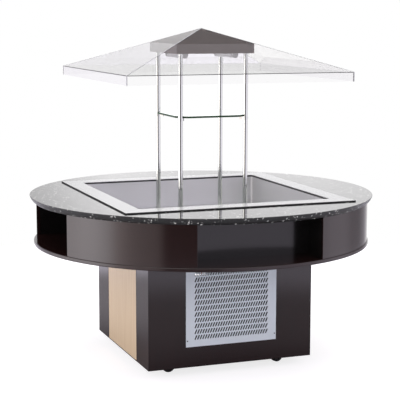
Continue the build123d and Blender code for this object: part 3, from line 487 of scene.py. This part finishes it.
def seen_directly(tree):
    """1 for the camera's own rays and for those that only went through glass."""
    paths = add_node(tree, "ShaderNodeLightPath").outputs
    bounces = calculate(tree, "ADD", paths["Diffuse Depth"], paths["Glossy Depth"])
    unbounced = calculate(tree, "LESS_THAN", bounces, 0.5)
    through = calculate(tree, "MULTIPLY", paths["Is Transmission Ray"], unbounced)
    return calculate(tree, "MAXIMUM", paths["Is Camera Ray"], through)


sky = blend_colors(tree, seen_directly(tree), room, (1, 1, 1))
background = add_node(tree, "ShaderNodeBackground", {"Color": sky, "Strength": 1.0})
add_node(tree, "ShaderNodeOutputWorld", {"Surface": background.outputs["Background"]})

# Floor: a pale round sheet, lit more brightly further out, as its reflection in the base shows
FLOOR_RADIUS = 3.6
FLOOR_DROP = 0.0005
FLOOR_COLOR = (0.4, 0.388, 0.415)
FLOOR_GLOW = 0.78
FAR_FLOOR_START = 2.2
FAR_FLOOR_END = 3.0
FAR_FLOOR_GLOW = 1.1
FAR_FLOOR_TINT = (1.0, 0.95, 1.13)
form = bmesh.new()
bmesh.ops.create_circle(form, cap_ends=True, segments=128, radius=FLOOR_RADIUS)
floor_mesh = bpy.data.meshes.new("floor")
form.to_mesh(floor_mesh)
form.free()
floor = bpy.data.objects.new("floor", floor_mesh)
scene.collection.objects.link(floor)
floor.location.z = -FLOOR_DROP
floor_mat, tree, shader = new_material("floor", FLOOR_COLOR, 0.9)
shader.inputs["Specular IOR Level"].default_value = 0.0
point = add_node(tree, "ShaderNodeTexCoord").outputs["Object"]
distance = add_node(tree, "ShaderNodeVectorMath", {0: point}, operation="LENGTH").outputs["Value"]
span = {"Value": distance, "From Min": FAR_FLOOR_START, "From Max": FAR_FLOOR_END}
far = add_node(tree, "ShaderNodeMapRange", span, interpolation_type="SMOOTHSTEP").outputs["Result"]
far_light = blend_colors(tree, far, (0, 0, 0), shade(FAR_FLOOR_TINT, FAR_FLOOR_GLOW))
glow = blend_colors(tree, seen_directly(tree), far_light, (FLOOR_GLOW, FLOOR_GLOW, FLOOR_GLOW))
tree.links.new(glow, shader.inputs["Emission Color"])
shader.inputs["Emission Strength"].default_value = 1.0
floor_mesh.materials.append(floor_mat)

# Shapes
BEVEL_ANGLE = radians(50)
SMOOTH_ANGLE = radians(32)
UP = Vector((0, 0, 1))
QUARTER_TURN = [pi / 2 * k / 6 for k in range(7)]


def prism(form, outline, start, end, across, up):
    """Straight bar: an outline of across and up distances carried from start to end."""
    rings = []
    for centre in (start, end):
        rings.append([form.verts.new(centre + across * a + up * b) for a, b in outline])
    count = len(outline)
    for i in range(count):
        j = (i + 1) % count
        form.faces.new((rings[0][i], rings[0][j], rings[1][j], rings[1][i]))
    form.faces.new(rings[0][::-1])
    form.faces.new(rings[1])


def loop_band(form, inner, outer, low, high):
    """Closed band between an inner and an outer outline, from one level to another."""
    rows = []
    for outline, level in ((outer, low), (outer, high), (inner, high), (inner, low)):
        rows.append([form.verts.new((x, y, level)) for x, y in outline])
    count = len(inner)
    for k in range(4):
        first, second = rows[k], rows[(k + 1) % 4]
        for i in range(count):
            j = (i + 1) % count
            form.faces.new((first[i], first[j], second[j], second[i]))


def lathe(form, profile, centre, axis, steps, closed=False):
    """Outline of radius and distance along an axis, turned round that axis."""
    side = axis.orthogonal().normalized()
    rows = []
    for k in range(steps):
        arm = Matrix.Rotation(2 * pi * k / steps, 3, axis) @ side
        rows.append([form.verts.new(centre + arm * r + axis * a) for r, a in profile])
    count = len(profile)
    spans = count if closed else count - 1
    for k in range(steps):
        first, second = rows[k], rows[(k + 1) % steps]
        for i in range(spans):
            j = (i + 1) % count
            form.faces.new((first[i], first[j], second[j], second[i]))
    if not closed:
        form.faces.new([row[0] for row in rows])
        form.faces.new([row[-1] for row in rows][::-1])


def finish_piece(name, form, material, body="cabinet", bevel=0.0):
    """Object from a form, with its material, riding on a body."""
    bmesh.ops.remove_doubles(form, verts=form.verts, dist=1e-7)
    bmesh.ops.recalc_face_normals(form, faces=form.faces)
    if bevel:
        sharp = [e for e in form.edges if len(e.link_faces) == 2 and e.calc_face_angle() > BEVEL_ANGLE]
        bmesh.ops.bevel(form, geom=sharp, offset=bevel, segments=2, affect="EDGES", profile=0.5)
    mesh = bpy.data.meshes.new(name)
    form.to_mesh(mesh)
    form.free()
    mesh.shade_smooth()
    mesh.set_sharp_from_angle(angle=SMOOTH_ANGLE)
    mesh.materials.append(material)
    piece = bpy.data.objects.new(name, mesh)
    scene.collection.objects.link(piece)
    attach(piece, body)
    return piece


# Ground green edge of the glass shelf
SHELF_EDGE_SEAT = 0.00004
SHELF_EDGE_DEPTH = 0.0005
SHELF_EDGE_ROUND = 0.0001
shelf_low, shelf_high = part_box("glass_shelf")
shelf_half = shelf_high[0]
shelf_cut = ((POST_SPACING / 2) * 2**0.5 - POST_RADIUS - SHELF_CORNER_GAP) * 2**0.5 - shelf_half


def shelf_outline(grow):
    """The shelf's eight corners, moved outwards."""
    half = shelf_half + grow
    start = shelf_cut + grow * (2**0.5 - 1)
    return [
        (half, -start), (half, start), (start, half), (-start, half),
        (-half, start), (-half, -start), (-start, -half), (start, -half),
    ]


form = bmesh.new()
inner, outer = shelf_outline(SHELF_EDGE_SEAT), shelf_outline(SHELF_EDGE_DEPTH)
loop_band(form, inner, outer, shelf_low[2], shelf_high[2])
finish_piece("shelf_edge", form, materials["glass_edge"], bevel=SHELF_EDGE_ROUND)

# Black sealing bead round the edge of the well's rim, on the stone
RIM_BEAD_SEAT = 0.00005
RIM_BEAD_WIDTH = 0.0024
RIM_BEAD_DROP = 0.0004
RIM_BEAD_ROUND = 0.0007
_, rim_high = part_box("well_rim")
gasket_low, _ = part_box("well_gasket")


def rim_outline(grow):
    """The rim's four corners, moved outwards."""
    half = rim_high[0] + grow
    return [(half, -half), (half, half), (-half, half), (-half, -half)]


form = bmesh.new()
inner, outer = rim_outline(RIM_BEAD_SEAT), rim_outline(RIM_BEAD_WIDTH)
loop_band(form, inner, outer, gasket_low[2] + RIM_BEAD_SEAT, rim_high[2] - RIM_BEAD_DROP)
finish_piece("rim_bead", form, materials["black_rubber"], bevel=RIM_BEAD_ROUND)

# Clear cement along the canopy's hips and corners
HIP_BEAD_HALF = 0.002
HIP_BEAD_SHOULDER = 0.0014
HIP_BEAD_SEAT = 0.0001
HIP_BEAD_RISE = 0.0006
HIP_BEAD_CROWN = 0.0009
HIP_BEAD_STOP = 0.004
CORNER_BEAD_SEAT = 0.0002
CORNER_BEAD = [
    (-0.0026, -0.0026), (0, 0), (0.0026, -0.0026), (0.0021, -0.0012), (0, 0.0008), (-0.0021, -0.0012),
]
canopy_low, canopy_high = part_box("canopy_pane_front")
canopy_half = -canopy_low[1]
apex = canopy_high[2]
lip_bottom = canopy_low[2]
eave = lip_bottom + CANOPY_LIP
fall = (apex - eave) / canopy_half
form = bmesh.new()
for x, y in CORNERS.values():
    foot = Vector((x * canopy_half, y * canopy_half, eave))
    across = Vector((x, -y, 0)).normalized()
    hip = (Vector((0, 0, apex)) - foot).normalized()
    lift = hip.cross(across).normalized()
    if lift.z < 0:
        lift = -lift
    dip = fall / 2**0.5 * HIP_BEAD_HALF / lift.z
    sunk = HIP_BEAD_SEAT - dip
    shoulder = HIP_BEAD_RISE - dip / 2
    bead = [
        (-HIP_BEAD_HALF, sunk), (0, HIP_BEAD_SEAT), (HIP_BEAD_HALF, sunk),
        (HIP_BEAD_SHOULDER, shoulder), (0, HIP_BEAD_CROWN), (-HIP_BEAD_SHOULDER, shoulder),
    ]
    prism(form, bead, foot, foot + hip * ((apex - eave) / hip.z - HIP_BEAD_STOP), across, lift)
    out = Vector((x, y, 0)).normalized()
    corner = [(a, b + CORNER_BEAD_SEAT) for a, b in CORNER_BEAD]
    prism(form, corner, Vector((foot.x, foot.y, lip_bottom)), foot, across, out)
finish_piece("canopy_joints", form, materials["cement"])

# End caps of the lamps, which narrow from the body to the tube
LAMP_CAP_LIP = 0.0005
LAMP_CAP_SEAT = 0.0001
LAMP_CAP_TOP = 0.0002
LAMP_CAP_DEPTH = 0.007
LAMP_CAP_ROUND = 0.0008
LAMP_CAP_LAP = 0.002
LAMP_CAP_CHAMFER = (0.005, 0.006)
LAMP_CAP_FOOT = (0.011, -0.0005)
body_low, body_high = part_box("lamp_bodies")
tube_low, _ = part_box("lamp_tubes")
lamp_half = LAMP_WIDTH / 2 + LAMP_CAP_LIP
body_drop = body_low[2] - body_high[2]
tube_drop = tube_low[2] - body_high[2]
cap_side = [(lamp_half, body_drop + LAMP_CAP_LAP)]
cap_side += [(lamp_half - a, tube_drop + b) for a, b in (LAMP_CAP_CHAMFER, LAMP_CAP_FOOT)]
cap_outline = [(-lamp_half, 0), (lamp_half, 0)] + cap_side + [(-a, b) for a, b in cap_side[::-1]]
form = bmesh.new()
for x in (body_low[0] + LAMP_WIDTH / 2, body_high[0] - LAMP_WIDTH / 2):
    for y, side in ((body_low[1], -1), (body_high[1], 1)):
        start = Vector((x, y + side * LAMP_CAP_SEAT, body_high[2] - LAMP_CAP_TOP))
        end = start + Vector((0, side * LAMP_CAP_DEPTH, 0))
        prism(form, cap_outline, start, end, Vector((1, 0, 0)), UP)
finish_piece("lamp_end_caps", form, materials["lamp_cap"], bevel=LAMP_CAP_ROUND)

# Edge bands on the ends of the drum's skins
BAND_SEAT = 0.00005
BAND_THICKNESS = 0.001
BAND_ROUND = 0.0006
BAND_LIP = 0.0001
BAND_END_GAP = 0.0003
skin_low, skin_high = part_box("drum_panel_front_left")
opening = -skin_high[0]
reach = -skin_low[1]
drum_radius = (reach**2 + opening**2) ** 0.5
inner_reach = ((drum_radius - PANEL) ** 2 - opening**2) ** 0.5
band = [
    (0, inner_reach), (BAND_THICKNESS, inner_reach), (BAND_THICKNESS, reach - BAND_ROUND),
    (BAND_ROUND, reach), (0, reach + BAND_LIP),
]
band = [(a + BAND_SEAT, b) for a, b in band]
band_bottom = skin_low[2] + BAND_END_GAP
band_top = skin_high[2] - BAND_END_GAP
form = bmesh.new()
for x, y in CORNERS.values():
    front_or_back = (Vector((0, y, 0)), Vector((-x, 0, 0)))
    left_or_right = (Vector((x, 0, 0)), Vector((0, -y, 0)))
    for outwards, sideways in (front_or_back, left_or_right):
        at = sideways * -opening
        prism(form, band, at + UP * band_bottom, at + UP * band_top, sideways, outwards)
finish_piece("drum_edge_bands", form, materials["edge_band"])

# Dark red strips beside the inlays, painted shade that stands for the shadow gap at the inlays' borders
INLAY_STRIP = [(-0.002, 0.00005), (0.002, 0.00005), (0.0014, 0.0007), (-0.0014, 0.0007)]
inlay_low, inlay_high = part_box("inlay_panels")
form = bmesh.new()
for x, face in ((-1, inlay_low[0]), (1, inlay_high[0])):
    for y in (inlay_low[1], inlay_high[1]):
        start = Vector((face, y, inlay_low[2]))
        end = Vector((face, y, inlay_high[2]))
        prism(form, INLAY_STRIP, start, end, Vector((0, 1, 0)), Vector((x, 0, 0)))
finish_piece("inlay_gap_shade", form, materials["gap_shade_strip"])

# Screws with a cross recess, whose flank, arms and depths are shares of the head's radius or height
HEAD_FLANK = 0.25
HEAD_MIDDLE = 0.0001
HEAD_STEPS = 28
RECESS_ARM = 0.62
RECESS_HALF = 0.13
RECESS_TAPER = 0.7
RECESS_TOP = 1.2
RECESS_BOTTOM = 0.35


def screw_mesh(radius, height):
    """Pan head at the origin, facing +Z, with a tapered cross recess."""
    form = bmesh.new()
    dome = [(radius * sin(t), height * (HEAD_FLANK + (1 - HEAD_FLANK) * cos(t))) for t in QUARTER_TURN]
    lathe(form, [(HEAD_MIDDLE, height)] + dome[1:] + [(radius, 0)], Vector(), UP, HEAD_STEPS)
    bmesh.ops.recalc_face_normals(form, faces=form.faces)
    head_mesh = bpy.data.meshes.new("head")
    form.to_mesh(head_mesh)
    form.free()
    form = bmesh.new()
    arm, half = radius * RECESS_ARM, radius * RECESS_HALF
    top, bottom = height * RECESS_TOP, height * RECESS_BOTTOM
    wedge = [(-half, top), (half, top), (half * RECESS_TAPER, bottom), (-half * RECESS_TAPER, bottom)]
    for across, along in ((Vector((1, 0, 0)), Vector((0, 1, 0))), (Vector((0, 1, 0)), Vector((-1, 0, 0)))):
        prism(form, wedge, along * -arm, along * arm, across, UP)
    bmesh.ops.recalc_face_normals(form, faces=form.faces)
    cutter_mesh = bpy.data.meshes.new("cutter")
    form.to_mesh(cutter_mesh)
    form.free()
    head = bpy.data.objects.new("head", head_mesh)
    cutter = bpy.data.objects.new("cutter", cutter_mesh)
    scene.collection.objects.link(head)
    scene.collection.objects.link(cutter)
    cut = head.modifiers.new("cut", "BOOLEAN")
    cut.object = cutter
    cut.operation = "DIFFERENCE"
    cut.solver = "EXACT"
    cut.use_self = True
    bpy.context.view_layer.update()
    made = bpy.data.meshes.new_from_object(head.evaluated_get(bpy.context.evaluated_depsgraph_get()))
    bpy.data.objects.remove(head)
    bpy.data.objects.remove(cutter)
    return made


def set_screws(form, mesh, places, out, turns):
    """Copies of a screw on a face that looks along out, each turned a little differently."""
    facing = out.to_track_quat("Z", "Y").to_matrix().to_4x4()
    for centre, turn in zip(places, turns):
        start = len(form.verts)
        form.from_mesh(mesh)
        form.verts.ensure_lookup_table()
        spin = Matrix.Translation(centre) @ facing @ Matrix.Rotation(radians(turn), 4, "Z")
        bmesh.ops.transform(form, matrix=spin, verts=form.verts[start:])


# Grille screws, in place of the plain ones
SCREW_SEAT = 0.0001
SCREW_TURNS = (12, 47, 71, 28)
screws_low, screws_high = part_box("grille_screws")
grille_low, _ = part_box("grille_front")
screw = screw_mesh(SCREW_HEAD_RADIUS, SCREW_HEAD_HEIGHT)
form = bmesh.new()
for y, out in ((grille_low[1], Vector((0, -1, 0))), (-grille_low[1], Vector((0, 1, 0)))):
    places = []
    for x in (screws_low[0] + SCREW_HEAD_RADIUS, screws_high[0] - SCREW_HEAD_RADIUS):
        for z in (screws_low[2] + SCREW_HEAD_RADIUS, screws_high[2] - SCREW_HEAD_RADIUS):
            places.append(Vector((x, y + out.y * SCREW_SEAT, z)))
    set_screws(form, screw, places, out, SCREW_TURNS)
screws = finish_piece("grille_screws_cross", form, materials["screw_black"])
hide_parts("grille_screws")

# Scale round the knob on the control plate
DIAL_STEPS = 7
DIAL_SWEEP = 270
TICK_START = 0.0238
LONG_TICK_HALF, LONG_TICK_END = 0.0005, 0.0275
SHORT_TICK_HALF, SHORT_TICK_END = 0.0003, 0.0262
TICK_SEAT = 0.00003
TICK_TOP = 0.00015
NUMERAL_RADIUS = 0.0325
NUMERAL_SIZE = 0.0068
NUMERAL_HALF_DEPTH = 0.00006
NUMERAL_LIFT = 0.0001
plate_low, plate_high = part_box("control_panel")
plate_face = plate_high[1]
knob_low, knob_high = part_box("thermostat_knob")
knob = Vector(((knob_low[0] + knob_high[0]) / 2, plate_face, KNOB_LEVEL))
outwards = Vector((0, 1, 0))
rightwards = Vector((-1, 0, 0))
form = bmesh.new()
for k in range(2 * DIAL_STEPS + 1):
    angle = radians(DIAL_SWEEP * k / (2 * DIAL_STEPS))
    spoke = rightwards * sin(angle) + UP * cos(angle)
    along = rightwards * cos(angle) - UP * sin(angle)
    half, end = (LONG_TICK_HALF, LONG_TICK_END) if k % 2 == 0 else (SHORT_TICK_HALF, SHORT_TICK_END)
    tick = [(-half, TICK_SEAT), (half, TICK_SEAT), (half, TICK_TOP), (-half, TICK_TOP)]
    prism(form, tick, knob + spoke * TICK_START, knob + spoke * end, along, outwards)
for k in range(DIAL_STEPS + 1):
    angle = radians(DIAL_SWEEP * k / DIAL_STEPS)
    words = bpy.data.curves.new("numeral", "FONT")
    words.body = str(k)
    words.size = NUMERAL_SIZE
    words.align_x = "CENTER"
    words.align_y = "CENTER"
    words.extrude = NUMERAL_HALF_DEPTH
    holder = bpy.data.objects.new("numeral", words)
    scene.collection.objects.link(holder)
    bpy.context.view_layer.update()
    flat = bpy.data.meshes.new_from_object(holder.evaluated_get(bpy.context.evaluated_depsgraph_get()))
    bpy.data.objects.remove(holder)
    start = len(form.verts)
    form.from_mesh(flat)
    form.verts.ensure_lookup_table()
    centre = knob + rightwards * (NUMERAL_RADIUS * sin(angle)) + UP * (NUMERAL_RADIUS * cos(angle))
    centre += outwards * NUMERAL_LIFT
    axes = Matrix((rightwards, UP, outwards)).transposed().to_4x4()
    bmesh.ops.transform(form, matrix=Matrix.Translation(centre) @ axes, verts=form.verts[start:])
finish_piece("control_scale", form, materials["mark_white"])

# Screws of the control plate
PLATE_SCREW_RADIUS = 0.003
PLATE_SCREW_HEIGHT = 0.0016
PLATE_SCREW_INSET = 0.007
PLATE_SCREW_SEAT = 0.00005
PLATE_SCREW_TURNS = (33, 8, 62, 20)
form = bmesh.new()
plate_screw = screw_mesh(PLATE_SCREW_RADIUS, PLATE_SCREW_HEIGHT)
places = []
for x in (plate_low[0] + PLATE_SCREW_INSET, plate_high[0] - PLATE_SCREW_INSET):
    for z in (plate_low[2] + PLATE_SCREW_INSET, plate_high[2] - PLATE_SCREW_INSET):
        places.append(Vector((x, plate_face + PLATE_SCREW_SEAT, z)))
set_screws(form, plate_screw, places, outwards, PLATE_SCREW_TURNS)
finish_piece("control_screws", form, materials["zinc"])

# Pointer on the knob
POINTER = [(-0.0009, 0.00002), (0.0009, 0.00002), (0.0009, 0.0001), (-0.0009, 0.0001)]
POINTER_START = 0.0045
POINTER_END = 0.0165
knob_top = Vector((knob.x, knob_high[1], knob.z))
form = bmesh.new()
prism(form, POINTER, knob_top + UP * POINTER_START, knob_top + UP * POINTER_END, rightwards, outwards)
finish_piece("knob_pointer", form, materials["mark_white"], "knob")

# Line and ring on each rocker's two slopes
ROCKERS = {"cooling_switch": "cooling_rocker", "light_switch": "light_rocker"}
MARK_DISTANCE = 0.0066
MARK_SEAT = 0.00004
MARK_LINE = [(-0.0005, 0), (0.0005, 0), (0.0005, 0.00012), (-0.0005, 0.00012)]
MARK_LINE_REACH = 0.0028
MARK_RING = [(0.0019, 0), (0.0027, 0), (0.0027, 0.00012), (0.0019, 0.00012)]
MARK_RING_STEPS = 32
tilt = radians(SWITCH_TILT)
lean_up = UP * cos(tilt) + outwards * sin(tilt)
lean_out = outwards * cos(tilt) - UP * sin(tilt)
rise = sin(tilt)
for name, body in ROCKERS.items():
    pivot = Vector(next(j["pos_m"] for j in frame["joints"] if j["name"] == name + "_rock"))
    form = bmesh.new()
    for sign in (1, -1):
        slope = (lean_up * sign + lean_out * rise).normalized()
        normal = (lean_out - lean_up * sign * rise).normalized()
        middle = pivot + lean_out * SWITCH_FRONT + slope * MARK_DISTANCE + normal * MARK_SEAT
        if sign == 1:
            half_line = slope * MARK_LINE_REACH
            prism(form, MARK_LINE, middle - half_line, middle + half_line, rightwards, normal)
        else:
            lathe(form, MARK_RING, middle, normal, MARK_RING_STEPS, closed=True)
    finish_piece(name + "_marks", form, materials["mark_white"], body)

# Caster wheels with a grooved tread and a ribbed hub, as radii and distances from the wheel's middle
SHOULDER_ROUND = 0.006
SHOULDER_START = 0.009
TREAD = [
    (WHEEL_RADIUS, 0.0), (WHEEL_RADIUS, 0.0030), (0.0361, 0.0036), (0.0361, 0.0054), (WHEEL_RADIUS, 0.0060),
]
SHOULDER = [
    (WHEEL_RADIUS - SHOULDER_ROUND * (1 - cos(t)), SHOULDER_START + SHOULDER_ROUND * sin(t))
    for t in QUARTER_TURN
]
SIDE_RING = [(0.0296, 0.015), (0.0293, 0.0146), (0.0286, 0.0146), (0.0283, 0.015)]
HUB = [
    (0.0246, 0.015), (0.0240, 0.0144), (0.0240, 0.0110), (0.0112, 0.0110), (0.0110, 0.0148), (0.0106, 0.015),
    (0.00406, 0.015),
]
WHEEL_STEPS = 72
RIB_COUNT = 6
RIB = [(-0.0012, 0.0109), (0.0012, 0.0109), (0.0008, 0.0138), (-0.0008, 0.0138)]
RIB_START = 0.0111
RIB_END = 0.0241
half_wheel = TREAD + SHOULDER + SIDE_RING + HUB
wheel_profile = half_wheel + [(r, -a) for r, a in half_wheel[1:]][::-1]
for name in CORNERS:
    joint = next(j for j in frame["joints"] if j["name"] == "caster_roll_" + name)
    centre = Vector(joint["pos_m"])
    axle = Vector(joint["axis"]).normalized()
    body = "wheel_" + name
    form = bmesh.new()
    lathe(form, wheel_profile, centre, axle, WHEEL_STEPS, closed=True)
    wheel = finish_piece("caster_tyre_" + name, form, materials["black_rubber"], body)
    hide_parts("caster_wheel_" + name)
    form = bmesh.new()
    for side in (-1, 1):
        rib = [(a, b * side) for a, b in RIB]
        for k in range(RIB_COUNT):
            spoke = Matrix.Rotation(2 * pi * k / RIB_COUNT, 3, axle) @ axle.orthogonal().normalized()
            prism(form, rib, centre + spoke * RIB_START, centre + spoke * RIB_END, spoke.cross(axle), axle)
    finish_piece("caster_ribs_" + name, form, materials["black_plastic"], body)
